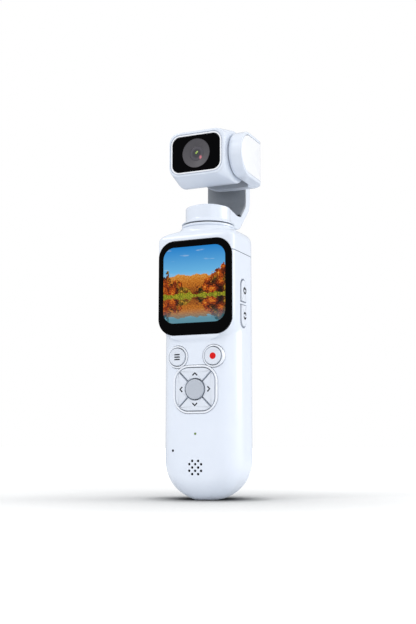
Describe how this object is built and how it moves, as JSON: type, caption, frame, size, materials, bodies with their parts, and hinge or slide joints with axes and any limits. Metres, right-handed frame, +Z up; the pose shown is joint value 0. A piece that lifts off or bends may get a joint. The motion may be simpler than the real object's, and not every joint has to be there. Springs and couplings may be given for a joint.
{
  "type": "pocket gimbal camera",
  "caption": "Hand-held pocket camera with a small screen, direction keys and a camera head carried on a three-axis motorised gimbal.",
  "frame": {"origin": "centre of the tripod thread's mouth, on the pan axis and on the floor that the foot stands on", "axes": "+Z up along the pan axis, -Y the way that the screen and the lens face, +X the side with the side keys"},
  "size_m": [0.0301, 0.0327, 0.128],
  "materials": {
    "white_shell": "gloss moulded plastic, cool white",
    "white_key": "satin moulded plastic, cool white",
    "center_key": "satin grey plastic",
    "record_key": "satin white plastic with a red dot",
    "arm_grey": "grey bead-blasted finish",
    "black_glass": "black-backed cover glass",
    "display": "lit display",
    "window": "dark tinted glass",
    "optics": "coated lens glass",
    "black_plastic": "matte black moulded plastic",
    "board": "green solder mask",
    "battery_wrap": "wrapped pouch cell",
    "steel": "bright steel",
    "magnet": "nickel-plated magnet",
    "copper": "enamelled copper wire",
    "brass": "turned brass",
    "sensor": "image sensor glass",
    "led": "tinted light guide",
    "screw_black": "blackened steel"
  },
  "bodies": {
    "handle": {"front_casing": "white_shell", "rear_cover": "white_shell", "top_cover": "white_shell", "screen_glass": "black_glass", "display_panel": "display", "main_board": "board", "key_board": "board", "dome_switches": "steel", "battery": "battery_wrap", "battery_tray": "steel", "tray_screws": "steel", "speaker_driver": "black_plastic", "microphone": "steel", "led_light_pipe": "led", "usb_port": "steel", "card_reader": "steel", "side_key_board": "board", "tripod_insert": "brass", "pan_stator": "steel", "pan_coils": "copper", "pan_bearings": "steel"},
    "pan_arm": {"pan_arm": "white_shell", "pan_shaft": "steel", "pan_magnet_ring": "magnet", "arm_inner_cover": "arm_grey", "arm_screw": "screw_black", "roll_stator": "steel", "roll_coils": "copper", "roll_bearings": "steel"},
    "roll_frame": {"roll_frame": "white_shell", "roll_rotor": "arm_grey", "roll_magnet_ring": "magnet", "roll_shaft": "steel", "rotor_screws": "steel", "frame_side_cap": "white_shell", "tilt_stator": "steel", "tilt_coils": "copper", "tilt_bearings": "steel"},
    "camera": {"camera_front_shell": "white_shell", "camera_rear_shell": "white_shell", "camera_window": "window", "lens_barrel": "black_plastic", "lens_elements": "optics", "image_sensor": "sensor", "sensor_board": "board", "tilt_rotor": "arm_grey", "tilt_magnet_ring": "magnet", "tilt_shaft": "steel"},
    "mode_button": {"mode_button": "white_key"},
    "record_button": {"record_button": "record_key"},
    "up_key": {"up_key": "white_key"},
    "down_key": {"down_key": "white_key"},
    "left_key": {"left_key": "white_key"},
    "right_key": {"right_key": "white_key"},
    "center_key": {"center_key": "center_key"},
    "power_button": {"power_button": "white_key"},
    "function_button": {"function_button": "white_key"}
  },
  "joints": [
    {"name": "pan", "type": "hinge", "parent": "handle", "child": "pan_arm", "pos_m": [0, 0, 0.098], "axis": [0, 0, 1], "range_deg": [-230, 58]},
    {"name": "roll", "type": "hinge", "parent": "pan_arm", "child": "roll_frame", "pos_m": [0, 0.016, 0.1189], "axis": [0, 1, 0], "range_deg": [-35, 35]},
    {"name": "tilt", "type": "hinge", "parent": "roll_frame", "child": "camera", "pos_m": [0.011, 0, 0.1189], "axis": [1, 0, 0], "range_deg": [-50, 90]},
    {"name": "mode_press", "type": "slide", "parent": "handle", "child": "mode_button", "axis": [0, 1, 0], "range_m": [0, 0.00035], "stiffness_N_per_m": 2000},
    {"name": "record_press", "type": "slide", "parent": "handle", "child": "record_button", "axis": [0, 1, 0], "range_m": [0, 0.00035], "stiffness_N_per_m": 2000},
    {"name": "up_press", "type": "slide", "parent": "handle", "child": "up_key", "axis": [0, 1, 0], "range_m": [0, 0.00035], "stiffness_N_per_m": 2000},
    {"name": "down_press", "type": "slide", "parent": "handle", "child": "down_key", "axis": [0, 1, 0], "range_m": [0, 0.00035], "stiffness_N_per_m": 2000},
    {"name": "left_press", "type": "slide", "parent": "handle", "child": "left_key", "axis": [0, 1, 0], "range_m": [0, 0.00035], "stiffness_N_per_m": 2000},
    {"name": "right_press", "type": "slide", "parent": "handle", "child": "right_key", "axis": [0, 1, 0], "range_m": [0, 0.00035], "stiffness_N_per_m": 2000},
    {"name": "center_press", "type": "slide", "parent": "handle", "child": "center_key", "axis": [0, 1, 0], "range_m": [0, 0.00035], "stiffness_N_per_m": 2000},
    {"name": "power_press", "type": "slide", "parent": "handle", "child": "power_button", "axis": [-1, 0, 0], "range_m": [0, 0.0003], "stiffness_N_per_m": 2000},
    {"name": "function_press", "type": "slide", "parent": "handle", "child": "function_button", "axis": [-1, 0, 0], "range_m": [0, 0.0003], "stiffness_N_per_m": 2000}
  ]
}
